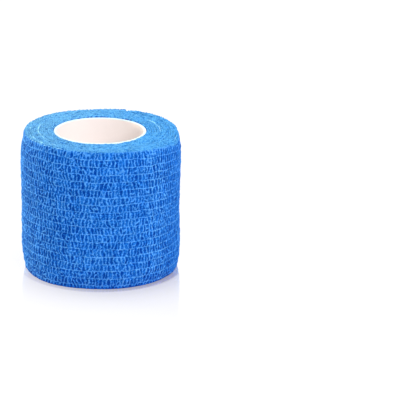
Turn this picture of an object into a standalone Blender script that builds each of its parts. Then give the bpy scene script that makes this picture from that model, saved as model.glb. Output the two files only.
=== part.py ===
# Cohesive bandage roll: a strip of puckered self-sticking cloth wound on a white paperboard core.
# It stands on one end. Metres, +Z up, origin at the middle of the outline on the surface it stands on.

from collections import namedtuple
from math import atan2, cos, radians, sin, tau

import bmesh
import bpy
import numpy as np
from mathutils import Vector

# Driving sizes
ROLL_WIDTH = 0.0500         # width of the strip, so the height of the standing roll
TURN_THICKNESS = 0.00072    # one turn of puckered cloth under its winding tension
END_TURNS = 13              # turns whose edges show on the top end, outside the tight ones at the core
THREAD_COUNT = 18           # elastic threads along the strip, which gather the cloth into rows
FIRST_THREAD = 0.0013       # lowest thread above the surface
THREAD_PITCH = 0.00273      # from one thread to the next
ROW_DEPTH = 0.00024         # how far a thread lies below the puffed row beside it
ROW_SHOULDERS = (0.27, 0.73)  # where a row is puffed out fully, as shares of the pitch
CORE_OUTER_RADIUS = 0.0163
CORE_WALL = 0.0008
CORE_LENGTH = 0.0498
CORE_RIM_CHAMFER = 0.00018
CORE_GAP = 0.0003           # between the core and the first turn

# Where things sit
LOOSE_END_ANGLE = radians(71.0)             # where the strip ends, turned from +X
LOOSE_END_SPAN = radians(0.9)               # how much of the turn the cut end's step takes
LOOSE_END_RISE = 0.0004                     # the last turn's end stands this much higher than the rest
LOOSE_END_RISE_SPAN = radians(110.0)        # and comes level again over this much of the turn
CORE_CENTRE = Vector((-0.00025, 0.0, 0.0))  # the core sits a little to the left in the roll
WALL_CENTRE = Vector((0.00019, -0.00018, 0.0))

# Section of the outer turn, measured at the loose end
BASE_EDGE = 0.0002          # rounding of the lower rim
BASE_FLAT_RADIUS = 0.0264   # the flat that the roll stands on reaches this far
BORE_EDGE = 0.0003          # rounding of the bore's two mouths
TOP_SHOULDER = 0.0008       # the outermost turn's edge lies this far below the top end
SHOULDER_TURNS = 2          # and the turns come level over this many
TURN_GROOVE = 0.00024       # depth of the groove between two turns' edges
RIM_HEIGHT = ROLL_WIDTH - TOP_SHOULDER
WALL_CURVE = (
    # height, radius over the puffed rows
    (0.0000, 0.02775),
    (0.0010, 0.02785),
    (0.0030, 0.02815),
    (0.0080, 0.02860),
    (0.0160, 0.02852),
    (0.0250, 0.02845),
    (0.0340, 0.02865),
    (0.0420, 0.02880),
    (0.0450, 0.02850),
    (0.0470, 0.02812),
    (0.0492, 0.02765),
)

# Hand-wound unevenness
WALL_UNEVENNESS = 0.00010   # of the wall's radius
THREAD_UNEVENNESS = 0.00008  # of the threads' height
END_UNEVENNESS = 0.00007    # of the turns' edges on the top end

# Mesh density
SECTION_COUNT = 60
CORE_STEPS = 60
POINTS_PER_TURN = 2         # on the top end: the crest of a turn's edge and the groove beside it

BORE_RADIUS = CORE_OUTER_RADIUS + CORE_GAP
RIM_RADIUS = WALL_CURVE[-1][1]

# One point of the roll's section: winds is 1 where it follows the spiral, rises is 1 on the last turn
SectionPoint = namedtuple("SectionPoint", "radius height winds rises")


def clear_scene():
    for item in list(bpy.data.objects):
        bpy.data.objects.remove(item, do_unlink=True)


def make_collection(name):
    collection = bpy.data.collections.new(name)
    bpy.context.scene.collection.children.link(collection)
    return collection


def make_material(name, color, roughness, sheen=0.0):
    material = bpy.data.materials.new(name)
    material.use_nodes = True
    shader = material.node_tree.nodes["Principled BSDF"]
    shader.inputs["Base Color"].default_value = (*color, 1.0)
    shader.inputs["Roughness"].default_value = roughness
    shader.inputs["Metallic"].default_value = 0.0
    shader.inputs["Sheen Weight"].default_value = sheen
    return material


def wall_radius(height):
    heights, curve = zip(*WALL_CURVE)
    return float(np.interp(height, heights, curve))


def base_points():
    """The flat that it stands on, from the bore out to the lower rim."""
    return [
        SectionPoint(BORE_RADIUS + BORE_EDGE, 0.0, 0, 0),
        SectionPoint(BASE_FLAT_RADIUS, 0.0, 1, 0),
        SectionPoint(wall_radius(0.0) - BASE_EDGE, BASE_EDGE, 1, 1),
    ]


def wall_points():
    """The outer wall: a valley at each thread and a puffed row above it, then the upper rim."""
    points = []
    for thread in range(THREAD_COUNT):
        thread_height = FIRST_THREAD + thread * THREAD_PITCH
        points.append(SectionPoint(wall_radius(thread_height) - ROW_DEPTH, thread_height, 1, 1))
        for share in ROW_SHOULDERS:
            row_height = thread_height + share * THREAD_PITCH
            if row_height < RIM_HEIGHT:
                points.append(SectionPoint(wall_radius(row_height), row_height, 1, 1))
    points.append(SectionPoint(RIM_RADIUS, RIM_HEIGHT, 1, 1))
    return points


def end_points():
    """The top end outside in: for each turn the crest of its edge, then the groove beside it."""
    points = []
    for step in range(1, END_TURNS * POINTS_PER_TURN + 1):
        turn = step / POINTS_PER_TURN
        droop = TOP_SHOULDER * max(0.0, 1 - turn / SHOULDER_TURNS) ** 2
        groove = TURN_GROOVE if step % POINTS_PER_TURN == 0 else 0.0
        rises = 1 if turn < 1 else 0
        inward = turn * TURN_THICKNESS
        points.append(SectionPoint(RIM_RADIUS - inward, ROLL_WIDTH - droop - groove, 1, rises))
    return points


def bore_points():
    """The innermost turns and the bore, from the top end down."""
    return [
        SectionPoint(BORE_RADIUS + BORE_EDGE, ROLL_WIDTH, 0, 0),
        SectionPoint(BORE_RADIUS, ROLL_WIDTH - BORE_EDGE, 0, 0),
        SectionPoint(BORE_RADIUS, BORE_EDGE, 0, 0),
    ]


def turn_centre(radius):
    """The turns' centre shifts from the core's, at the bore, to the outer wall's."""
    share = (radius - BORE_RADIUS) / (RIM_RADIUS - BORE_RADIUS)
    return CORE_CENTRE.lerp(WALL_CENTRE, min(max(share, 0.0), 1.0))


def uneven_wall(angle, height):
    """Soft hand-wound unevenness of the wall's radius."""
    slow = sin(2 * angle + 55 * height + 0.6)
    quick = sin(5 * angle - 130 * height + 1.9)
    return WALL_UNEVENNESS * (slow + 0.6 * quick)


def uneven_thread(angle, height):
    """The threads run round nearly level, a little up and down."""
    return THREAD_UNEVENNESS * sin(3 * angle + 260 * height)


def uneven_end(winding):
    """Turns stand a little higher and lower than each other, without a break along the spiral."""
    return END_UNEVENNESS * (sin(2.1 * winding) + 0.7 * sin(4.7 * winding + 1.0))


def place_point(point, angle, turned):
    """Where a section point lies once the section is turned and wound in by that angle."""
    outward = Vector((cos(angle), sin(angle), 0.0))
    radius = point.radius - point.winds * TURN_THICKNESS * turned / tau
    height = point.height
    if point.winds and point.height > 0.0:
        radius += uneven_wall(angle, height)
    if FIRST_THREAD <= point.height < RIM_HEIGHT:
        height += uneven_thread(angle, height)
    if point.winds and point.height > RIM_HEIGHT:
        height += uneven_end((RIM_RADIUS - radius) / TURN_THICKNESS)
    settled = min(turned / LOOSE_END_RISE_SPAN, 1.0)
    height += point.rises * LOOSE_END_RISE * (1 - settled) ** 2
    return turn_centre(radius) + outward * radius + Vector((0.0, 0.0, height))


def close_seam(mesh, last, first, rim, end_count):
    """Join the last section to the first, where each turn runs on into the next one in.

    The walls meet in the step of the loose end. On the top end a point of the last section
    meets the one a whole turn further in, and the points left over at both ends close in a fan.
    """
    count = len(first)
    inner = rim + end_count
    pairs = [(index, index + 1, 0) for index in range(rim)]
    pairs += [(index, index + 1, POINTS_PER_TURN) for index in range(rim, inner - POINTS_PER_TURN)]
    pairs += [(index, index + 1, 0) for index in range(inner, count)]
    for low, high, shift in pairs:
        high = high % count
        mesh.faces.new((last[low], last[high], first[high + shift], first[low + shift]))
    for index in range(POINTS_PER_TURN):
        mesh.faces.new((last[rim], first[rim + index + 1], first[rim + index]))
        left_over = inner - POINTS_PER_TURN + index
        mesh.faces.new((last[left_over], last[left_over + 1], first[inner]))


def build_bandage_roll(collection):
    """One solid of all the turns, spun from its section and drawn in by a turn on the way round."""
    wall = base_points() + wall_points()
    end = end_points()
    section = wall + end + bore_points()
    count = len(section)

    mesh = bmesh.new()
    profile = [mesh.verts.new((point.radius, 0.0, point.height)) for point in section]
    edges = [mesh.edges.new((profile[index - 1], profile[index])) for index in range(count)]
    bmesh.ops.spin(
        mesh, geom=profile + edges, cent=(0, 0, 0), axis=(0, 0, 1), dvec=(0, 0, 0),
        angle=tau - LOOSE_END_SPAN, steps=SECTION_COUNT - 1, use_duplicate=False,
    )
    mesh.verts.ensure_lookup_table()
    rings = [mesh.verts[start:start + count] for start in range(0, len(mesh.verts), count)]
    for ring in rings:
        turned = atan2(ring[0].co.y, ring[0].co.x) % tau
        if turned > tau - LOOSE_END_SPAN / 2:
            turned = 0.0
        for vertex, point in zip(ring, section):
            vertex.co = place_point(point, LOOSE_END_ANGLE + turned, turned)
    close_seam(mesh, rings[-1], rings[0], len(wall) - 1, len(end))
    bmesh.ops.recalc_face_normals(mesh, faces=mesh.faces)

    data = bpy.data.meshes.new("bandage_roll")
    mesh.to_mesh(data)
    mesh.free()
    data.shade_smooth()
    data.set_sharp_from_angle(angle=radians(50.0))
    roll = bpy.data.objects.new("bandage_roll", data)
    roll.data.materials.append(make_material("blue_cohesive_cloth", (0.045, 0.19, 0.69), 0.9, 0.3))
    collection.objects.link(roll)
    return roll


def build_core_tube(collection):
    """The paperboard tube: its wall's section turned about the core's axis."""
    inner = CORE_OUTER_RADIUS - CORE_WALL
    chamfer = CORE_RIM_CHAMFER
    outline = [
        (CORE_OUTER_RADIUS - chamfer, CORE_LENGTH),
        (CORE_OUTER_RADIUS, CORE_LENGTH - chamfer),
        (CORE_OUTER_RADIUS, chamfer),
        (CORE_OUTER_RADIUS - chamfer, 0.0),
        (inner + chamfer, 0.0),
        (inner, chamfer),
        (inner, CORE_LENGTH - chamfer),
        (inner + chamfer, CORE_LENGTH),
    ]
    data = bpy.data.meshes.new("core_tube")
    edges = [(index, (index + 1) % len(outline)) for index in range(len(outline))]
    data.from_pydata([(radius, 0.0, height) for radius, height in outline], edges, [])
    core = bpy.data.objects.new("core_tube", data)
    core.location = CORE_CENTRE
    collection.objects.link(core)

    turn = core.modifiers.new("Turn", "SCREW")
    turn.angle = tau
    turn.steps = CORE_STEPS
    turn.render_steps = CORE_STEPS
    turn.use_merge_vertices = True
    turn.merge_threshold = 0.00001
    turn.use_smooth_shade = True
    turn.use_normal_calculate = True
    core.data.materials.append(make_material("white_paperboard", (0.86, 0.83, 0.80), 0.7))
    return core


def main():
    clear_scene()
    collection = make_collection("cohesive_bandage_roll")
    build_bandage_roll(collection)
    build_core_tube(collection)


main()
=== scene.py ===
import math

import bpy
import numpy as np
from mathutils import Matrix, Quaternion, Vector


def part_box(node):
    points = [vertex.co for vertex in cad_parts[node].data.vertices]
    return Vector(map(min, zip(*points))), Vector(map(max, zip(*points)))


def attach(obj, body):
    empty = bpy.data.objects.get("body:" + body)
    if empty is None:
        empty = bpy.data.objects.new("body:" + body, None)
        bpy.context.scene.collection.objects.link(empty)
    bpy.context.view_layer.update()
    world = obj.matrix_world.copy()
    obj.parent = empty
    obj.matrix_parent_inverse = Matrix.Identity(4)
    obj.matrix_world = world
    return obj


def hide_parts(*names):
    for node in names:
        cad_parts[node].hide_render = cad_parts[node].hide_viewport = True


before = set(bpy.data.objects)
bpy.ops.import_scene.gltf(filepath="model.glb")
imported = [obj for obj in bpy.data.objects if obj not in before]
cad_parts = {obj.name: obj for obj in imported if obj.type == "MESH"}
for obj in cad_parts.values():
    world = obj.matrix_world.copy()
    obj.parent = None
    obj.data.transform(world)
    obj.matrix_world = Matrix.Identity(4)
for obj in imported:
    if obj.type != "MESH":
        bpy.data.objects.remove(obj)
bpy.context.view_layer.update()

mm = 0.001
fullTurn = 2 * math.pi
coreLow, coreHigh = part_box("core_tube")

# The winding, in the same sizes as the solid that it stands for
winding = {
    "stripWidth": 50.0 * mm,
    "turnThickness": 0.72 * mm,
    "looseEnd": math.radians(71),   # where the strip ends, turned from +X
    "endRise": 0.40 * mm,           # its end stands this much high
    "endRiseSpan": math.radians(110),
    "wallCentre": (0.19 * mm, -0.18 * mm),
    "rimRadius": 27.65 * mm,
    "shoulder": 0.60 * mm,
    "shoulderTurns": 3.0,
    "coreGap": 0.30 * mm,
    "wall": (                       # height, radius over the puffed rows
        (0.0, 27.75), (1.0, 27.85), (3.0, 28.15), (8.0, 28.60), (16.0, 28.52), (25.0, 28.45),
        (34.0, 28.65), (42.0, 28.80), (45.0, 28.50), (47.0, 28.12), (49.2, 27.65),
    ),
    "rimLevel": (                   # turned from +X in degrees, how much higher the top rim lies there
        (-180, 0.30), (-135, 0.45), (-90, 0.36), (-68, 0.22), (-50, -0.30), (-32, -0.80), (-14, -1.70),
        (2, -0.45), (16, 0.42), (40, 0.70), (60, 0.65), (75, 0.0), (90, -0.15), (140, 0.22), (180, 0.30),
    ),
    "rimTurns": 7.5,                # over this many turns that levels out
}

coreCentre = ((coreLow.x + coreHigh.x) / 2, (coreLow.y + coreHigh.y) / 2)
coreRadius = (coreHigh.x - coreLow.x) / 2
boreRadius = coreRadius + winding["coreGap"]


def deselectAll():
    bpy.ops.object.select_all(action="DESELECT")


def pick(piece):
    deselectAll()
    piece.select_set(True)
    bpy.context.view_layer.objects.active = piece


def fromHex(text):
    # sRGB hex to the linear colour that the shader wants
    parts = [int(text[i:i + 2], 16) / 255 for i in (0, 2, 4)]
    linear = [p / 12.92 if p <= 0.04045 else ((p + 0.055) / 1.055) ** 2.4 for p in parts]
    return (*linear, 1.0)


def addNode(tree, kind, inputs=None, links=None, **settings):
    node = tree.nodes.new(kind)
    for key, value in settings.items():
        setattr(node, key, value)
    for key, value in (inputs or {}).items():
        node.inputs[key].default_value = value
    for key, source in (links or {}).items():
        tree.links.new(source, node.inputs[key])
    return node


def mixColours(tree, factor, low, high):
    # low and high are hex colours or another node's socket
    node = addNode(tree, "ShaderNodeMix", None, {0: factor}, data_type="RGBA")
    for slot, colour in ((6, low), (7, high)):
        if isinstance(colour, str):
            node.inputs[slot].default_value = fromHex(colour)
        else:
            tree.links.new(colour, node.inputs[slot])
    return node.outputs[2]


def mapRange(tree, value, low, high, toLow=0.0, toHigh=1.0):
    ends = {"From Min": low, "From Max": high, "To Min": toLow, "To Max": toHigh}
    return addNode(tree, "ShaderNodeMapRange", ends, {"Value": value}).outputs["Result"]


def noiseOver(tree, place, size, detail):
    values = {"Scale": 1 / size, "Detail": detail}
    return addNode(tree, "ShaderNodeTexNoise", values, {"Vector": place}).outputs["Fac"]


def newMaterial(name):
    material = bpy.data.materials.new(name)
    material.use_nodes = True
    material.node_tree.nodes.clear()
    return material, material.node_tree


def noiseTable(seed, rows=1):
    return np.random.default_rng(seed).uniform(-1, 1, (rows, 4096))


def smoothShare(x):
    return x * x * (3 - 2 * x)


def smoothStep(low, high, x):
    return smoothShare(np.clip((x - low) / (high - low), 0, 1))


def softNoise(table, x, y=0.0):
    # smooth random surface through the table's values, one value to each whole x and y
    column, row = np.floor(x).astype(int), np.floor(y).astype(int)
    along, up = smoothShare(x - column), smoothShare(y - row)
    rows, columns = table.shape
    total = 0.0
    for rowStep, rowShare in ((0, 1 - up), (1, up)):
        for columnStep, columnShare in ((0, 1 - along), (1, along)):
            value = table[(row + rowStep) % rows, (column + columnStep) % columns]
            total = total + value * rowShare * columnShare
    return total


def smoothCurve(points, x):
    # through the points of a short table, level at each
    places, values = np.array(points, float).T
    upper = np.clip(np.searchsorted(places, x), 1, len(places) - 1)
    share = np.clip((x - places[upper - 1]) / (places[upper] - places[upper - 1]), 0, 1)
    return values[upper - 1] + (values[upper] - values[upper - 1]) * smoothShare(share)


def degreesFrom(middle, angle):
    # from a place round the roll, in degrees from +X, on to an angle: -180 to 180
    return (np.degrees(angle) - middle + 180) % 360 - 180


def rimRise(angle, turnsIn):
    # the roll's top is handled: its outer turns lie a little higher or lower round the rim
    level = smoothCurve(winding["rimLevel"], degreesFrom(0, angle)) * mm
    return level * (1 - smoothStep(0, winding["rimTurns"], turnsIn))


def shoulderDrop(turnsIn):
    # the outermost turns lie a little lower, round the roll's shoulder
    return winding["shoulder"] * np.clip(1 - turnsIn / winding["shoulderTurns"], 0, 1) ** 2


def turnCentre(radius):
    # the turns' centre moves from the core's at the bore to the outer wall's at the rim
    share = np.clip((radius - boreRadius) / (winding["rimRadius"] - boreRadius), 0, 1)
    x = coreCentre[0] + (winding["wallCentre"][0] - coreCentre[0]) * share
    y = coreCentre[1] + (winding["wallCentre"][1] - coreCentre[1]) * share
    return x, y


def wallRadius(height):
    heights, radii = np.array(winding["wall"]).T * mm
    return np.interp(height, heights, radii)


def makeStrip(name, columns, rows):
    # a flat grid of cloth; returns it with each point's column and row number
    deselectAll()
    bpy.ops.mesh.primitive_grid_add(x_subdivisions=columns - 1, y_subdivisions=rows - 1, size=1)
    strip = bpy.context.object
    strip.name = name
    strip.data.name = name
    flat = np.empty(len(strip.data.vertices) * 3, np.float32)
    strip.data.vertices.foreach_get("co", flat)
    flat = flat.reshape(-1, 3)
    column = np.rint((flat[:, 0] + 0.5) * (columns - 1)).astype(int)
    row = np.rint((flat[:, 1] + 0.5) * (rows - 1)).astype(int)
    return strip, column, row


def windUp(strip, radius, angle, height):
    centreX, centreY = turnCentre(radius)
    places = np.stack([
        centreX + radius * np.cos(angle),
        centreY + radius * np.sin(angle),
        height,
    ], axis=1)
    strip.data.vertices.foreach_set("co", places.astype(np.float32).ravel())


def storeMask(strip, name, values):
    mask = strip.data.attributes.new(name, "FLOAT", "POINT")
    mask.data.foreach_set("value", np.clip(values, 0, 1).astype(np.float32))


def closeStrip(strip):
    # the section's first and last rows meet, and the strip's two ends are filled with flat caps
    pick(strip)
    bpy.ops.object.mode_set(mode="EDIT")
    bpy.ops.mesh.select_mode(type="VERT")
    bpy.ops.mesh.select_all(action="SELECT")
    bpy.ops.mesh.remove_doubles(threshold=0.000001)
    bpy.ops.mesh.select_all(action="DESELECT")
    bpy.ops.mesh.select_non_manifold(extend=False, use_wire=False, use_multi_face=False,
                                     use_non_contiguous=False, use_verts=False)
    bpy.ops.mesh.edge_face_add()
    bpy.ops.mesh.mark_sharp()
    bpy.ops.mesh.quads_convert_to_tris(ngon_method="BEAUTY")
    bpy.ops.mesh.select_all(action="SELECT")
    bpy.ops.mesh.normals_make_consistent(inside=False)
    bpy.ops.object.mode_set(mode="OBJECT")
    bpy.ops.object.shade_smooth(keep_sharp_edges=True)


# Materials

cloth = {
    "groove": "003b96",     # painted shade, deep in a pocket
    "body": "1a6dcc",       # the cloth between
    "crest": "529be7",      # painted highlight, on a fold's crest
    "thread": "66b0f2",     # the elastic threads show paler through the nap
    "cutDark": "1460b0",    # cut edges: fibre ends, with gaps between them
    "cutLight": "6eb4df",
    "cutPaintedShade": "1e97e8",    # painted shade, on the roll's right
    "proud": "a6e6ff",      # painted highlight, where an edge stands up, as if light shone through it
    "roughness": 0.92,
    "sheen": "a8d4ff",
    "fibre": 0.30 * mm,     # a real fibre is 0.02 mm, drawn coarser so that it shows
    "fibreTone": (0.80, 1.18),
    "fibreStand": 0.08 * mm,
    "clump": 2.6 * mm,      # fibres matted together, and latex lying thicker
    "clumpTone": (0.92, 1.08),
    "spread": (0.3, 0.7),   # a noise reaches from about here to here
}


def makeCloth():
    # Crimped spunbond cloth with a latex coat: dull, with a faint nap at grazing angles and matted fibres
    material, tree = newMaterial("crimpedSpunbondCloth")
    place = addNode(tree, "ShaderNodeTexCoord").outputs["Object"]
    masks = {}
    for name in ("pucker", "thread", "cutEdge", "paintedSideShade", "proud"):
        masks[name] = addNode(tree, "ShaderNodeAttribute", attribute_name=name).outputs["Fac"]
    fibres = noiseOver(tree, place, cloth["fibre"], 2.0)
    clumps = noiseOver(tree, place, cloth["clump"], 1.0)
    # painted shade in the pockets, painted highlight on the crests
    folds = mixColours(tree, mapRange(tree, masks["pucker"], 0.0, 0.5), cloth["groove"], cloth["body"])
    folds = mixColours(tree, mapRange(tree, masks["pucker"], 0.5, 1.0), folds, cloth["crest"])
    folds = mixColours(tree, masks["thread"], folds, cloth["thread"])
    cut = mixColours(tree, masks["pucker"], cloth["cutDark"], cloth["cutLight"])
    # painted shade on the roll's right
    cut = mixColours(tree, masks["paintedSideShade"], cut, cloth["cutPaintedShade"])
    # painted highlights where an edge stands up
    cut = mixColours(tree, masks["proud"], cut, cloth["proud"])
    base = mixColours(tree, masks["cutEdge"], folds, cut)
    speck = mapRange(tree, fibres, *cloth["spread"], *cloth["fibreTone"])
    mottle = mapRange(tree, clumps, *cloth["spread"], *cloth["clumpTone"])
    both = addNode(tree, "ShaderNodeMath", None, {0: speck, 1: mottle}, operation="MULTIPLY").outputs[0]
    tint = addNode(tree, "ShaderNodeVectorMath", None, {0: base, "Scale": both}, operation="SCALE")
    bump = addNode(tree, "ShaderNodeBump",
                   {"Strength": 0.6, "Distance": cloth["fibreStand"]}, {"Height": fibres})
    shader = addNode(tree, "ShaderNodeBsdfPrincipled", {
        "Roughness": cloth["roughness"], "Specular IOR Level": 0.06, "Sheen Weight": 0.04,
        "Sheen Roughness": 0.5, "Sheen Tint": fromHex(cloth["sheen"]),
    }, {"Base Color": tint.outputs[0], "Normal": bump.outputs["Normal"]})
    addNode(tree, "ShaderNodeOutputMaterial", None, {"Surface": shader.outputs[0]})
    return material


board = {
    "face": "ede4e1",
    "faceLight": "f1e9e7",
    "rim": "dcf4fa",                     # the cut ply is bare white pulp, a little blue
    "rimBand": 0.30 * mm,
    "paintedRimShade": "cdcdd3",                  # painted shade inside its right rim:
    "paintedRimShadeAcross": (0.72, 0.97),        # from here to here across, as shares of its radius,
    "paintedRimShadeBelow": (3.6 * mm, 1.2 * mm), # and from here up to here below the rim
    "fibre": 0.5 * mm,
    "fibreStand": 0.03 * mm,
    "roughness": 0.55,
}


def makeBoard():
    # Spiral-wound white paperboard: smooth, slightly warm, a soft sheen off its calendered face
    material, tree = newMaterial("whitePaperboard")
    place = addNode(tree, "ShaderNodeTexCoord").outputs["Object"]
    across, _, height = addNode(tree, "ShaderNodeSeparateXYZ", None, {0: place}).outputs
    fibres = noiseOver(tree, place, board["fibre"], 3.0)
    face = mixColours(tree, fibres, board["face"], board["faceLight"])
    # painted shade inside the core's right rim
    start, end = board["paintedRimShadeAcross"]
    right = mapRange(tree, across, start * coreRadius, end * coreRadius)
    start, end = board["paintedRimShadeBelow"]
    top = mapRange(tree, height, coreHigh.z - start, coreHigh.z - end)
    paintedRimShade = addNode(tree, "ShaderNodeMath", None, {0: right, 1: top}, operation="MULTIPLY").outputs[0]
    face = mixColours(tree, paintedRimShade, face, board["paintedRimShade"])
    rim = mapRange(tree, height, coreHigh.z - board["rimBand"], coreHigh.z - 0.5 * board["rimBand"])
    tone = mixColours(tree, rim, face, board["rim"])
    bump = addNode(tree, "ShaderNodeBump",
                   {"Strength": 0.15, "Distance": board["fibreStand"]}, {"Height": fibres})
    shader = addNode(tree, "ShaderNodeBsdfPrincipled", {
        "Roughness": board["roughness"], "IOR": 1.5, "Specular IOR Level": 0.4,
    }, {"Base Color": tone, "Normal": bump.outputs["Normal"]})
    addNode(tree, "ShaderNodeOutputMaterial", None, {"Surface": shader.outputs[0]})
    return material


clothMaterial = makeCloth()
boardMaterial = makeBoard()
print("materials made")


# The outermost turn, with its threads and puckers

outerTurn = {
    "lengths": 3,                      # modelled in this many lengths, as one mesh would be too heavy
    "columns": 342,                    # of each length
    "rowStep": 0.178 * mm,             # between two rows of points
    "overlap": math.radians(7),        # how far it goes on beneath its own loose end
    "dive": (-0.02, 0.03, 0.16),       # from and to, past one whole turn, it dives by this share of a turn
    "pressed": 0.96,                   # share of one turn's room that the strip fills
    "meanRadius": 28.3 * mm,
    "crestStand": -0.04 * mm,          # the crests over the solid's mean surface
    "swell": 0.13 * mm,                # broad bumps that span a few puckers
    "puff": 0.30 * mm,                 # a row of puckers stands this much over the threads beside it
    "grainStand": 0.05 * mm,
    "fuzzStand": 0.03 * mm,
    "fullOver": 9 * mm,                # its rims bulge here and there, over this much of its height
    "bottomBulge": (                   # turned from +X in degrees, mm
        (-180, 0.0), (-155, 0.05), (-130, 0.62), (-98, 0.08),
        (-50, 0.60), (-15, 0.60), (60, 0.0), (180, 0.0),
    ),
    "topBulge": ((-180, 0.0), (-100, 0.05), (-20, 0.40), (70, 0.0), (180, 0.0)),
    "footTuck": 0.42 * mm,             # its foot is drawn in this much all round,
    "footTuckRight": 0.23 * mm,        # and this much more on its right,
    "footTuckOver": 6.5 * mm,          # up to this height
    "rightAt": math.radians(10),       # its right lies this far clockwise from +X
    "wave": 0.10 * mm,                 # its wall waves in and out this much
    "waves": (                         # share of that, how often round it, radians in each metre up, phase
        (1.0, 2, 55, 0.6), (0.6, 5, -130, 1.9),
    ),
    "edgeRound": 0.28 * mm,
    "edgeRough": 0.14 * mm,            # the cut edge goes up and down, at random
    "edgeRuffle": 0.45 * mm,           # and with the puckers
    "shallowEdge": (48.6 * mm, 49.3 * mm, 0.30),     # from here to here the puckers get this much shallower
    "lift": 0.18 * mm,                 # the cut end comes off the turn below
    "liftSpan": math.radians(5),
}

threads = {
    "first": 1.35 * mm,
    "pitch": 2.692 * mm,
    "tilt": 0.50 * mm,                 # the rows lie this much higher on one side than on average
    "tiltAt": math.radians(150),       # which lies this far clockwise from +X
    "tiltLevel": 0.44,                 # and all of them lie lower by this share of it
    "stand": 0.10 * mm,
    "wave": 0.20 * mm,                 # a thread wanders up and down this much
    "width": 0.20 * mm,
    "holdWidth": 0.27 * mm,            # they hold the cloth flat this near to them,
    "heldDepth": 0.2,                  # to this share of a pocket's depth
}

pockets = {
    "pitch": 1.30 * mm,                # from one pucker to the next
    "depth": 0.24 * mm,
    "rowShift": 0.37,                  # each row starts this much further on; the rest too is in pitches
    "jitter": 0.22,                    # the pockets' middles are off by up to this
    "squat": 0.45,                     # a pocket is this much narrower than it is tall
    "doubled": 0.14,                   # share of the puckers that are pinched into two
    "slant": 0.34,
    "bends": (                         # how far the crests wander, over how much along and up
        (0.28, 0.6, 1.6), (0.18, 1.6, 3.2), (0.10, 3.4, 8.0),
    ),
    "crest": (0.05, 0.30),             # from a fold's crest to a pocket's floor
    "room": 0.42,                      # with less room than this its crests are thinner, so it still shows
    "curls": 0.38,                     # small folds that cross the pockets, as a share of their depth
    "far": 99.0,                       # farther than any other pocket
}

grains = {                             # of the cloth: table, its rows, size along and up
    "grain": (21, 1024, 0.34 * mm, 0.36 * mm),
    "fuzz": (25, 1024, 0.19 * mm, 0.19 * mm),
    "broad": (26, 64, 4.1 * mm, 2.3 * mm),
    "swell": (28, 256, 1.9 * mm, 1.5 * mm),
    "paintedGlint": (29, 256, 0.42 * mm, 0.50 * mm),
}

wallTone = {                           # 0 is the groove's painted shade, 1 the crest's painted highlight
    "level": 0.82,
    "dip": 0.87,
    "grain": 0.33,
    "fuzz": 0.25,
    "broad": 0.06,
    "rim": 0.10,
    "rimFrom": (46.9 * mm, 47.7 * mm), # paler from here up
    "contrast": (0.26, -0.15),         # painted shade and highlight stronger at both sides, and more on its left than on its right
    "foot": (-0.8 * mm, 1.5 * mm),     # hardly any light gets to the foot of the wall
    "rightDark": 0.15,                 # and less to its right edge,
    "rightDarkAt": math.radians(15),   # this far clockwise from +X,
    "rightDarkOver": (0.80, 0.97),     # between these cosines
    "paintedSideShade": 0.16,                      # painted shade: the cut edges look bluer towards the roll's right
    "faded": (0.34, 0.60, 0.16),       # how much the threads show: level, at random, more on the right
    "paintedGlints": (-46, 15),               # painted glints here and there: middle and half width in degrees
    "turnedOut": (-14, 22, 1.5 * mm),  # there the cut edge's colour reaches down the wall, as if rolled outwards: the same, and height
    "specks": (195, 245),              # from here to here its cut edge has painted highlights in places
}


def turnSection():
    # section of one turn: share of its thickness inwards, height, and 1 on its cut edges
    top = winding["stripWidth"] - shoulderDrop(0.5)
    bend = outerTurn["edgeRound"]
    count = int((top - 2 * bend) / outerTurn["rowStep"])
    wall = [(0.0, height, 0.0) for height in np.linspace(bend, top - bend, count)]
    edge = [(0.12, 0.09), (0.36, 0.0), (0.66, 0.0), (0.92, 0.12), (1.0, 0.5), (1.0, 2.4)]
    upper = [(inward, top - inset * mm, 1.0) for inward, inset in edge]
    lower = [(inward, inset * mm, 1.0) for inward, inset in reversed(edge)]
    rows = lower + wall + upper
    rows.append(rows[0])
    return rows


def threadRows(along, height):
    # which row of puckers a point is in, and its share of the way from the thread below to the one above
    wander = noiseTable(22, 64)
    angle = winding["looseEnd"] + along / outerTurn["meanRadius"]
    tilt = threads["tilt"] * (np.cos(angle + threads["tiltAt"]) - threads["tiltLevel"])

    def threadHeight(number):
        wave = softNoise(wander, along / (6 * mm), number)
        wave = wave + 0.8 * softNoise(wander, along / (1.4 * mm), number + 30)
        return threads["first"] + number * threads["pitch"] + tilt + threads["wave"] * wave

    row = np.floor((height - threads["first"]) / threads["pitch"]).astype(int)
    row = row - (height < threadHeight(row)) + (height >= threadHeight(row + 1))
    low, high = threadHeight(row), threadHeight(row + 1)
    return row, (height - low) / (high - low)


def pocketSeeds(cell, row, tall):
    # the middles of the pockets near a place, in pitches along and up, and how deep each is
    jitter = noiseTable(13, 128)
    line = (row + 1) % 32
    for offset in (0, -1, 1, -2, 2):
        index = (cell + offset) % jitter.shape[1]
        pinched = jitter[line, index] > 1 - 2 * pockets["doubled"]
        for upper in (0, 1):
            lift = jitter[line + 32 * (1 + upper), (index + 77) % jitter.shape[1]]
            seedStep = cell + offset + 0.5 + pockets["jitter"] * jitter[line + 32 * (1 + upper), index]
            seedUp = np.where(pinched, (0.28 + 0.46 * upper) * tall + 0.12 * lift, 0.5 * tall + 0.40 * lift)
            seedUp = np.where(pinched | (upper == 0), seedUp, pockets["far"])     # most have only one
            strength = 0.80 + 0.20 * jitter[line + 32, (index + 555) % jitter.shape[1]]
            yield seedStep, seedUp * pockets["squat"], strength


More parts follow.
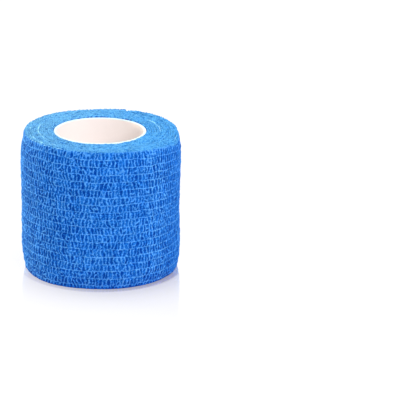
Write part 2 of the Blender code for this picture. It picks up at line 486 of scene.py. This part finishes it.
def pocketField(along, row, share):
    # how deep the cloth dips: 0 on the crests round a pocket, up to 1 on its floor
    wander = noiseTable(12, 512)
    line = row * 9.0          # the rows wander on their own, so they read the table this far apart
    tall = threads["pitch"] / pockets["pitch"]
    step = along / pockets["pitch"] + row * pockets["rowShift"]
    up = (share * tall + 0.30 * softNoise(wander, step * 1.5 + 1800, line + share * 4)) * pockets["squat"]
    step = step + pockets["slant"] * (share - 0.5) * softNoise(wander, step * 0.45, line + 100)
    for number, (reach, often, oftenUp) in enumerate(pockets["bends"]):
        step = step + reach * softNoise(wander, step * often + 900 * number, line + share * oftenUp)
    cell = np.floor(step).astype(int)
    nearest = np.full(step.shape, pockets["far"])
    ownStep, ownUp, ownStrength = (np.zeros(step.shape) for _ in range(3))
    for seedStep, seedUp, strength in pocketSeeds(cell, row, tall):
        gap = np.hypot(step - seedStep, up - seedUp)
        closer = gap < nearest
        ownStep, ownUp = np.where(closer, seedStep, ownStep), np.where(closer, seedUp, ownUp)
        ownStrength = np.where(closer, strength, ownStrength)
        nearest = np.minimum(nearest, gap)
    # the way to the nearest border with another pocket, where the crest is
    toCrest, room = np.full(step.shape, pockets["far"]), np.full(step.shape, pockets["far"])
    for seedStep, seedUp, strength in pocketSeeds(cell, row, tall):
        acrossStep, acrossUp = seedStep - ownStep, seedUp - ownUp
        apart = np.hypot(acrossStep, acrossUp)
        middleStep, middleUp = (seedStep + ownStep) / 2 - step, (seedUp + ownUp) / 2 - up
        way = (middleStep * acrossStep + middleUp * acrossUp) / np.maximum(apart, 0.001)
        another = apart > 0.01
        toCrest = np.where(another, np.minimum(toCrest, way), toCrest)
        room = np.where(another, np.minimum(room, apart / 2), room)
    toCrest = toCrest * np.clip(pockets["room"] / room, 1, 2.2)
    curl = np.abs(softNoise(wander, step * 1.25 + 3300, line + share * 2.4 + 200))
    crossed = pockets["curls"] * (1 - smoothStep(0, 0.22, curl))
    return smoothStep(*pockets["crest"], toCrest) * ownStrength * (1 - crossed)


def clothGrain(kind, along, height):
    table, rows, sizeAlong, sizeUp = grains[kind]
    return softNoise(noiseTable(table, rows), along / sizeAlong, height / sizeUp)


def clothRelief(along, height):
    # what the flat strip's cloth does at each point
    row, share = threadRows(along, height)
    nearThread = np.minimum(share, 1 - share) * threads["pitch"]
    held = threads["heldDepth"]
    hold = held + (1 - held) * smoothStep(0.0, threads["holdWidth"], nearThread)
    dip = pocketField(along, row, share) * hold
    low, high, shallower = outerTurn["shallowEdge"]
    dip *= 1 - shallower * smoothStep(low, high, height)
    relief = {kind: clothGrain(kind, along, height) for kind in ("grain", "fuzz", "broad", "swell")}
    relief["row"], relief["share"], relief["dip"] = row, share, dip
    relief["thread"] = np.exp(-(nearThread / (0.5 * threads["width"])) ** 2)
    relief["rim"] = smoothStep(*wallTone["rimFrom"], height)
    return relief


def fullness(angle, height):
    # the outer turns aren't quite round: they wave a little, and bulge at the rims
    fromRim = np.minimum(height, winding["stripWidth"] - height)
    around = degreesFrom(0, angle)
    low, high = smoothCurve(outerTurn["bottomBulge"], around), smoothCurve(outerTurn["topBulge"], around)
    bulge = np.where(height < 0.5 * winding["stripWidth"], low, high) * mm
    wave = sum(part * np.sin(often * angle + twist * height + phase)
               for part, often, twist, phase in outerTurn["waves"])
    right = np.clip(np.cos(angle + outerTurn["rightAt"]), 0, 1)
    tuck = outerTurn["footTuck"] + outerTurn["footTuckRight"] * right
    tuck = tuck * (1 - smoothStep(0, outerTurn["footTuckOver"], height))
    return bulge * (1 - smoothStep(0, outerTurn["fullOver"], fromRim)) + outerTurn["wave"] * wave - tuck


def outerRadius(turned, height, inward, relief):
    thick = winding["turnThickness"]
    # under the loose end the strip dives in by more than one turn, so that it stays beneath
    start, end, depth = outerTurn["dive"]
    dive = smoothStep(fullTurn + start, fullTurn + end, turned) * depth * thick
    radius = wallRadius(height) + outerTurn["crestStand"] - thick * turned / fullTurn - dive
    radius += fullness(winding["looseEnd"] + turned, height)
    outside = np.clip(1 - 1.4 * inward, 0, 1)      # fades over the cut edges to the turn's inner side
    puff = 0.5 * outerTurn["puff"]
    radius += outside * (puff * np.sin(np.pi * np.clip(relief["share"], 0, 1)) - puff)
    radius += outside * (outerTurn["swell"] * relief["swell"] - pockets["depth"] * relief["dip"])
    radius += outside * (
        threads["stand"] * relief["thread"]
        + outerTurn["grainStand"] * relief["grain"] + outerTurn["fuzzStand"] * relief["fuzz"]
    )
    lift = outerTurn["lift"] * (1 - smoothStep(0, outerTurn["liftSpan"], turned))
    return radius + (lift - inward * thick * outerTurn["pressed"])


def outerHeight(turned, along, height, inward, cut, dip):
    # the cut edge goes up and down with the puckers, and roughly
    rough = outerTurn["edgeRough"] * softNoise(noiseTable(23, 64), along / (0.5 * mm), inward * 3)
    ruffle = outerTurn["edgeRuffle"] * (0.5 - dip)
    onEdge = cut * (1 - np.abs(2 * inward - 1)) * (height > 0.5 * winding["stripWidth"])
    height = height + (rough + ruffle) * onEdge
    rise = winding["endRise"] * (1 - np.clip(turned / winding["endRiseSpan"], 0, 1)) ** 2
    level = rimRise(winding["looseEnd"] + turned, turned / fullTurn)
    rise = rise + level * smoothStep(0, winding["stripWidth"], height) ** 2
    return height + rise * (height > 0.05 * mm)      # its foot stays on the table


# painted shade, more towards the roll's right
def paintedShadeTowardsRight(angle):
    return wallTone["paintedSideShade"] * (1 + np.cos(angle + outerTurn["rightAt"]))


def storeWallMasks(strip, angle, along, height, inward, cut, relief):
    dip, grain, fuzz = relief["dip"], relief["grain"], relief["fuzz"]
    # painted shade where the cloth dips into a pocket and painted highlight on the crests, with tone that
    # differs at random
    tone = wallTone["level"] - wallTone["dip"] * dip + wallTone["grain"] * grain + wallTone["fuzz"] * fuzz
    tone = tone + wallTone["broad"] * relief["broad"] + wallTone["rim"] * relief["rim"]
    bothSides, rightSide = wallTone["contrast"]
    tone = 0.5 + (tone - 0.5) * (1 + bothSides * np.abs(np.cos(angle)) + rightSide * np.cos(angle))
    foot = smoothStep(*wallTone["foot"], height)
    rightEdge = smoothStep(*wallTone["rightDarkOver"], np.cos(angle + wallTone["rightDarkAt"]))
    tone *= foot * (1 - wallTone["rightDark"] * rightEdge)
    storeMask(strip, "pucker", np.where(inward > 0.3, 0.55 + 0.4 * grain, tone))

    level, random, rightSide = wallTone["faded"]
    rowHalf = relief["row"] + (relief["share"] > 0.5)
    faded = level + random * softNoise(noiseTable(24, 64), along / (0.9 * mm), rowHalf)
    faded += rightSide * np.cos(angle)
    # painted glints on the threads and crests, in a band round the wall
    middle, reach = wallTone["paintedGlints"]
    paintedGlint = 1 - smoothStep(0.2, 1.0, np.abs(degreesFrom(middle, angle)) / reach)
    paintedGlint *= smoothStep(0.0, 0.6, clothGrain("paintedGlint", along, height))
    threadsAndPaintedGlints = relief["thread"] * (faded + 0.3 * paintedGlint) + 0.7 * paintedGlint * np.clip(1 - 2 * dip, 0, 1)
    storeMask(strip, "thread", threadsAndPaintedGlints * foot * (1 - cut))

    middle, reach, tall = wallTone["turnedOut"]
    around = np.abs(degreesFrom(middle, angle)) / reach
    below = winding["stripWidth"] + rimRise(angle, 0.0) - height
    below = below + 0.25 * mm * grain + 0.7 * mm * (dip - 0.3)
    rolled = 0.8 * (1 - smoothStep(0.4, 1.0, around)) * (1 - smoothStep(0.3 * tall, 1.3 * tall, below))
    cutEdge = smoothStep(0.05, 0.4, inward) * (height > 0.5 * winding["stripWidth"])
    storeMask(strip, "cutEdge", np.maximum(cutEdge, rolled * (1 - inward)))
    storeMask(strip, "paintedSideShade", paintedShadeTowardsRight(angle))

    # painted highlight: pale specks on the cut edge
    low, high = np.radians(wallTone["specks"])
    among = smoothStep(low, low + 0.1, angle) * (1 - smoothStep(high - 0.1, high, angle))
    specks = smoothStep(0.35, 0.75, softNoise(noiseTable(27), along / (0.8 * mm)))
    storeMask(strip, "proud", among * specks * (inward > 0.1) * (inward < 0.9))


def buildOuterTurn():
    sections = turnSection()
    wholeTurn = fullTurn + outerTurn["overlap"]
    pieces = []
    for number in range(outerTurn["lengths"]):
        strip, column, row = makeStrip(f"outerTurn_{number + 1}", outerTurn["columns"], len(sections))
        inward, height, cut = (np.array(values)[row] for values in zip(*sections))
        turned = (number + column / (outerTurn["columns"] - 1)) / outerTurn["lengths"] * wholeTurn
        angle = winding["looseEnd"] + turned
        along = turned * outerTurn["meanRadius"]
        relief = clothRelief(along, height)
        radius = outerRadius(turned, height, inward, relief)
        height = outerHeight(turned, along, height, inward, cut, relief["dip"])
        windUp(strip, radius, angle, height)
        storeWallMasks(strip, angle, along, height, inward, cut, relief)
        closeStrip(strip)
        strip.data.materials.append(clothMaterial)
        pieces.append(strip)
    return pieces


outer = buildOuterTurn()
print("outer turn:", [len(piece.data.polygons) for piece in outer], "faces")


# The turns within, one strip from the outer turn to the core

innerTurns = {
    "step": 0.226 * mm,        # distance between two sections along the strip
    "thickness": 0.70 * mm,    # pressed edges, so a groove stays between two turns
    "uneven": 0.22,            # it varies by this share
    "startStep": 4.0,          # over this many turns the bump over the strip's start spreads out
    "coreDip": -0.02 * mm,     # the turns next to the core lie this much lower than the others,
    "coreLean": 0.16 * mm,     # and this much more at the front, less at the back
    "dipTurns": 2.6,
    "fillTurns": 9.0,          # this many turns fill out to the outermost one,
    "snug": 0.08 * mm,         # and press against it
    "meander": 0.13 * mm,      # the puckered edges wander in and out,
    "fray": 0.06 * mm,         # fray a little,
    "edgeRise": 0.20 * mm,     # and go up and down
    "turnRise": 0.07 * mm,     # whole turns lie a little high or low
    "proudRise": 0.30 * mm,    # an edge that stands up this much gets the palest painted highlight
    "proud": (                 # stretches where it stands up: turns in from the start, and height
        (6.24, 6.40, 0.26 * mm), (7.78, 7.92, 0.26 * mm), (6.93, 6.97, 0.16 * mm),
        (2.41, 2.46, 0.20 * mm), (1.352, 1.386, 0.36 * mm), (0.388, 0.421, 0.36 * mm),
        (2.284, 2.308, 0.30 * mm), (0.757, 0.790, 0.30 * mm),
    ),
}

edgeTone = {                   # 0 is the cut's dark colour, 1 its light one
    "level": (0.53, -0.05),    # the second number is what the back has more
    "grain": (0.58, 0.30),
    "fuzz": (0.64, 0.20),
    "mottle": 0.22,
    "paintedLightShare": 0.22,           # painted light: the end face is lighter towards here:
    "paintedLightAt": math.radians(135),
    "shadowed": 0.8,           # share of the innermost edge that lies in the shadow of its own puckers
}


def edgeRows():
    # closed section of the strip: share of half its thickness outwards, height, and 1 at the cut edges
    top = winding["stripWidth"]
    upper = [
        (-1.0, -1.4), (-0.98, -0.14), (-0.66, -0.03), (0.0, 0.0), (0.66, -0.03), (0.98, -0.14), (1.0, -1.4),
    ]
    lower = [(1.0, 1.4), (0.8, 0.10), (0.0, 0.0), (-0.8, 0.10), (-1.0, 1.4)]
    rows = [(side, top + z * mm, 1.0 + z / 1.4) for side, z in upper]
    rows += [(side, z * mm, 1.0 - z / 1.4) for side, z in lower]
    rows.append(rows[0])
    return rows


def hugTheCore(turnsLeft, lastRadius):
    # round the core each turn hugs the one below, and steps up where the strip's start lies beneath it
    whole = np.floor(turnsLeft)
    part = turnsLeft - whole
    stepped = np.clip(1 - whole / innerTurns["startStep"], 0, 1)
    steps = whole + stepped * smoothStep(0.90, 1.0, part) + (1 - stepped) * part
    return lastRadius + winding["turnThickness"] * steps


def proudEdges(turnsIn):
    proud = 0.0
    for start, end, rise in innerTurns["proud"]:
        soft = min(0.03, (end - start) / 2)
        ease = smoothStep(start, start + soft, turnsIn) * (1 - smoothStep(end - soft, end, turnsIn))
        proud = np.maximum(proud, ease * rise / innerTurns["proudRise"])
    return proud


def edgeLevel(angle, turnsIn, turnsLeft, bumps, proud):
    # how much the top edge of each turn lies over the strip's width
    turnRise = innerTurns["turnRise"] * (np.sin(2.1 * turnsIn + 2.1) + 0.7 * np.sin(4.7 * turnsIn + 5.7))
    coreDip = innerTurns["coreDip"] - innerTurns["coreLean"] * np.sin(angle)
    coreDip = coreDip * (1 - smoothStep(0, innerTurns["dipTurns"], turnsLeft))
    return turnRise - shoulderDrop(turnsIn + 1.0) - coreDip + bumps + innerTurns["proudRise"] * proud


def storeEdgeMasks(strip, angle, along, turnsIn, turnsLeft, side, upper, cut, grain, fuzz, proud):
    mottle = softNoise(noiseTable(37, 64), along / (0.75 * mm), turnsIn * 0.9)
    behind = np.clip(np.sin(angle), 0, 1)
    level, grainShare, fuzzShare = (
        edgeTone[kind][0] + edgeTone[kind][1] * behind for kind in ("level", "grain", "fuzz")
    )
    shade = level + grainShare * grain + fuzzShare * fuzz + edgeTone["mottle"] * mottle
    # painted light, towards the back left of the end face
    shade += edgeTone["paintedLightShare"] * np.clip(np.cos(angle - edgeTone["paintedLightAt"]), 0, 1)
    notch = smoothStep(-0.1, 0.4, softNoise(noiseTable(39), along / (0.6 * mm)))
    hidden = edgeTone["shadowed"] * ((side < -0.5) * (turnsLeft < 1) * notch)
    # painted shade towards each turn's sides, in the grooves between turns
    storeMask(strip, "pucker", (shade - 0.10 * np.abs(side) ** 4) * (1 - hidden))
    storeMask(strip, "thread", np.zeros(len(side)))
    storeMask(strip, "cutEdge", np.where(upper, smoothStep(-0.9, 0.9, cut), 0.0) * (1 - hidden))
    storeMask(strip, "paintedSideShade", paintedShadeTowardsRight(angle))
    # painted highlight where an edge stands up
    storeMask(strip, "proud", proud * (0.8 + 0.2 * grain))


def buildInnerTurns():
    sections = edgeRows()
    thick = winding["turnThickness"]
    # the middle of the strip at the top rim, from one turn inside the loose end to the bore
    firstRadius = winding["rimRadius"] - 1.5 * thick
    lastRadius = boreRadius + 0.25 * thick
    totalTurned = (firstRadius - lastRadius) / thick * fullTurn
    length = (firstRadius + lastRadius) / 2 * totalTurned
    columns = int(length / innerTurns["step"])
    strip, column, row = makeStrip("innerTurns", columns, len(sections))
    side, height, cut = (np.array(values)[row] for values in zip(*sections))
    along = column / (columns - 1) * length
    shrink = thick / fullTurn
    turned = (firstRadius - np.sqrt(firstRadius ** 2 - 2 * shrink * along)) / shrink
    angle = winding["looseEnd"] + turned
    turnsIn, turnsLeft = turned / fullTurn, (totalTurned - turned) / fullTurn

    upper = height > 0.5 * winding["stripWidth"]
    edge = upper * 4.0          # the two edges read the tables this far apart
    step = along / pockets["pitch"]
    wander = noiseTable(31, 16)
    phase = step * 1.15 + 0.8 * softNoise(wander, step * 0.5, edge)
    meander = np.sin(fullTurn * phase) * (0.7 + 0.5 * softNoise(wander, step * 0.4, 8 + edge))
    uneven = innerTurns["uneven"] * softNoise(noiseTable(32, 16), step * 2.1, edge)
    width = 0.5 * innerTurns["thickness"] * (1 + uneven)
    filled = 1 - smoothStep(0, innerTurns["fillTurns"], turnsIn)
    middle = hugTheCore(turnsLeft, lastRadius)
    middle = middle + filled * (outerTurn["crestStand"] + innerTurns["snug"] + fullness(angle, height))
    calm = np.clip(0.2 + 0.4 * turnsLeft, 0, 1)
    radius = middle + side * width + innerTurns["meander"] * meander * cut * calm
    grain = softNoise(noiseTable(33, 40), along / (0.34 * mm), row * 1.0)
    fuzz = softNoise(noiseTable(38, 40), along / (0.22 * mm), row * 1.0)
    radius += innerTurns["fray"] * fuzz * cut

    bumps = innerTurns["edgeRise"] * np.clip(0.4 + 0.4 * turnsLeft, 0, 1) * (
        0.8 * softNoise(noiseTable(34, 16), along / (0.75 * mm), edge) + 0.9 * grain + 0.5 * fuzz
    )
    proud = proudEdges(turnsIn) * upper * (np.abs(side) < 0.5)
    level = edgeLevel(angle, turnsIn, turnsLeft, bumps, proud)
    height = height + np.where(upper, level, np.abs(bumps)) * (cut > 0.5)
    height = height + np.where(upper, rimRise(angle, turnsIn + 1.0), 0.0)

    windUp(strip, radius, angle, height)
    storeEdgeMasks(strip, angle, along, turnsIn, turnsLeft, side, upper, cut, grain, fuzz, proud)
    closeStrip(strip)
    strip.data.materials.append(clothMaterial)
    return strip, length


inner, innerLength = buildInnerTurns()
print("inner turns:", len(inner.data.polygons), "faces,", round(innerLength, 3), "m of strip")


# Core

core = {
    "sides": 180,
    "wall": 0.80 * mm,
    "rimRound": 0.16 * mm,
}


def buildCore():
    length = coreHigh.z - coreLow.z
    deselectAll()
    bpy.ops.mesh.primitive_cylinder_add(
        vertices=core["sides"], radius=coreRadius, depth=length, end_fill_type="NOTHING",
        location=(coreCentre[0], coreCentre[1], length / 2),
    )
    tube = bpy.context.object
    tube.name = "coreTube"
    tube.data.name = "coreTube"
    bpy.ops.object.transform_apply(location=True, rotation=True, scale=True)
    wall = tube.modifiers.new("wall", "SOLIDIFY")
    wall.thickness = core["wall"]
    wall.offset = -1
    rim = tube.modifiers.new("rim", "BEVEL")
    rim.width = core["rimRound"]
    rim.segments = 3
    rim.limit_method = "ANGLE"
    rim.angle_limit = math.radians(40)
    for modifier in ("wall", "rim"):
        bpy.ops.object.modifier_apply(modifier=modifier)
    bpy.ops.object.shade_smooth_by_angle(angle=math.radians(50))
    tube.data.materials.append(boardMaterial)
    return tube


coreTube = buildCore()
print("core:", len(coreTube.data.polygons), "faces")


# Stage, light and camera

stage = {
    "floorSize": 6.0,
    "floorGap": 0.03 * mm,    # it lies this much below the roll's foot
    "floor": "646468",        # it gives back little of the light from above,
    "floorGlow": 0.89,        # as it is lit from below
    "mirrorTint": "ff92cc",   # of what the polish mirrors before the roll,
    "tintFront": -10 * mm,    # nearer than this
    "tintSides": (25.5 * mm, 28 * mm),   # and no farther to a side than this, fading out
    "mirrorRoughness": 0.06,
    "mirrorReach": 100,       # mm
    "mirror": (               # mm from the roll's middle, share of the light that its polish mirrors
        (0, 0.52), (28.6, 0.52), (29.7, 0.34), (30.9, 0.27), (33, 0.235), (34.4, 0.21), (37.8, 0.165),
        (42.4, 0.12), (45.9, 0.10), (49.4, 0.08), (54, 0.068), (60, 0.055), (68, 0.035), (82, 0.0),
    ),
    "mirrorSides": (0.68, 1.34),   # that share, times this on its left and on its right,
    "mirrorHalf": 28 * mm,         # this far from the middle
    "backdrop": (4.0, 1.6, 1.6),   # width, height and how far behind
    "backdropGlow": 1.0,
    "worldStrength": 0.40,
    "lights": (               # name, place, size, watts, colour
        ("topSoftbox", (0.30, 0.05, 1.08), 1.00, 8.2, "ffffff"),
        ("keySoftbox", (0.48, -0.97, 0.75), 0.60, 10.5, "ffffff"),
        ("fillSoftbox", (-1.06, -0.14, 0.50), 0.60, 2.7, "fffaec"),
        ("edgeSoftbox", (-0.84, 0.58, 0.125), 0.28, 13.6, "fff2d4"),
    ),
}


def makeFloorMaterial():
    # Frosted white acrylic, lit from below: even white, with a faint mirror image near what stands on it
    material, tree = newMaterial("litWhiteAcrylic")
    place = addNode(tree, "ShaderNodeTexCoord").outputs["Object"]
    reach = addNode(tree, "ShaderNodeVectorMath", None, {0: place}, operation="LENGTH")
    inRange = addNode(tree, "ShaderNodeMath", {1: stage["mirrorReach"] * mm}, {0: reach.outputs["Value"]},
                      operation="DIVIDE")
    fade = addNode(tree, "ShaderNodeFloatCurve", None, {"Value": inRange.outputs[0]})
    curve = fade.mapping.curves[0]
    while len(curve.points) < len(stage["mirror"]):
        curve.points.new(0.5, 0.0)
    for point, (away, share) in zip(curve.points, stage["mirror"]):
        point.location = (away / stage["mirrorReach"], share)
    fade.mapping.update()
    dull = addNode(tree, "ShaderNodeBsdfDiffuse", {"Color": fromHex(stage["floor"])})
    glow = addNode(tree, "ShaderNodeEmission", {"Color": fromHex("ffffff"), "Strength": stage["floorGlow"]})
    lit = addNode(tree, "ShaderNodeAddShader", None, {0: dull.outputs[0], 1: glow.outputs[0]})
    across, away, _ = addNode(tree, "ShaderNodeSeparateXYZ", None, {0: place}).outputs
    side = addNode(tree, "ShaderNodeMath", None, {0: across}, operation="ABSOLUTE").outputs[0]
    front = addNode(tree, "ShaderNodeMath", {1: stage["tintFront"]}, {0: away}, operation="LESS_THAN")
    tinted = mixColours(tree, front.outputs[0], "ffffff", stage["mirrorTint"])
    tint = mixColours(tree, mapRange(tree, side, *stage["tintSides"]), tinted, "ffffff")
    half = stage["mirrorHalf"]
    uneven = mapRange(tree, across, -half, half, *stage["mirrorSides"])
    polish = addNode(tree, "ShaderNodeMath", None,
                     {0: fade.outputs["Value"], 1: uneven}, operation="MULTIPLY")
    mirror = addNode(tree, "ShaderNodeBsdfGlossy", {"Roughness": stage["mirrorRoughness"]}, {"Color": tint})
    mixed = addNode(tree, "ShaderNodeMixShader", None,
                    {0: polish.outputs[0], 1: lit.outputs[0], 2: mirror.outputs[0]})
    addNode(tree, "ShaderNodeOutputMaterial", None, {"Surface": mixed.outputs[0]})
    return material


def buildStage():
    deselectAll()
    bpy.ops.mesh.primitive_plane_add(size=stage["floorSize"], location=(0, 0, -stage["floorGap"]))
    floor = bpy.context.object
    floor.name = "tableTop"
    floor.data.materials.append(makeFloorMaterial())
    wide, tall, behind = stage["backdrop"]
    bpy.ops.mesh.primitive_plane_add(
        size=1, location=(0, behind, tall / 2), rotation=(math.radians(90), 0, 0),
    )
    backdrop = bpy.context.object
    backdrop.name = "backdrop"
    backdrop.scale = (wide, tall, 1)
    bpy.ops.object.transform_apply(location=True, rotation=True, scale=True)
    paper, tree = newMaterial("litWhitePaper")
    glow = addNode(tree, "ShaderNodeEmission",
                   {"Color": fromHex("ffffff"), "Strength": stage["backdropGlow"]})
    addNode(tree, "ShaderNodeOutputMaterial", None, {"Surface": glow.outputs[0]})
    backdrop.data.materials.append(paper)
    middle = Vector((0, 0, winding["stripWidth"] / 2))
    for name, place, size, watts, colour in stage["lights"]:
        bpy.ops.object.light_add(type="AREA", location=place)
        lamp = bpy.context.object
        lamp.name = name
        lamp.data.shape = "DISK"
        lamp.data.size = size
        lamp.data.energy = watts
        lamp.data.color = fromHex(colour)[:3]
        lamp.rotation_euler = (middle - Vector(place)).to_track_quat("-Z", "Y").to_euler()
    world = bpy.data.worlds.new("studio")
    world.use_nodes = True
    back = world.node_tree.nodes["Background"]
    back.inputs["Color"].default_value = fromHex("ffffff")
    back.inputs["Strength"].default_value = stage["worldStrength"]
    bpy.context.scene.world = world
    bpy.context.scene.view_settings.view_transform = "Standard"


camera = {
    "frameWidth": 400,         # pixels
    "aim": (100.8, 197.25),    # where the roll's middle shows in that frame
    "distance": 0.920,
    "elevation": math.radians(18.15),
    "focal": 2585.0,           # in pixels of that frame
    "sensor": 36.0,
}


def buildCamera():
    bpy.ops.object.camera_add()
    eye = bpy.context.object
    eye.name = "camera"
    middle = Vector((0, 0, winding["stripWidth"] / 2))
    back = Vector((0, -math.cos(camera["elevation"]), math.sin(camera["elevation"])))
    eye.location = middle + back * camera["distance"]
    # turned off the roll about the camera's own axes, so that the roll stands upright in the frame
    centre = camera["frameWidth"] / 2
    across = math.atan((centre - camera["aim"][0]) / camera["focal"])
    up = math.atan((centre - camera["aim"][1]) / camera["focal"])
    level = (-back).to_track_quat("-Z", "Y")
    eye.rotation_mode = "QUATERNION"
    eye.rotation_quaternion = level @ Quaternion((0, 1, 0), -across) @ Quaternion((1, 0, 0), -up)
    eye.data.sensor_width = camera["sensor"]
    eye.data.lens = camera["focal"] * camera["sensor"] / camera["frameWidth"]
    eye.data.clip_start = 0.05
    eye.data.clip_end = 20.0
    bpy.context.scene.camera = eye


buildStage()
buildCamera()
print("stage, lights and camera set")

for piece in (*outer, inner, coreTube):
    isCore = piece is coreTube
    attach(piece, "root")
    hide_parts("core_tube" if isCore else "bandage_roll")
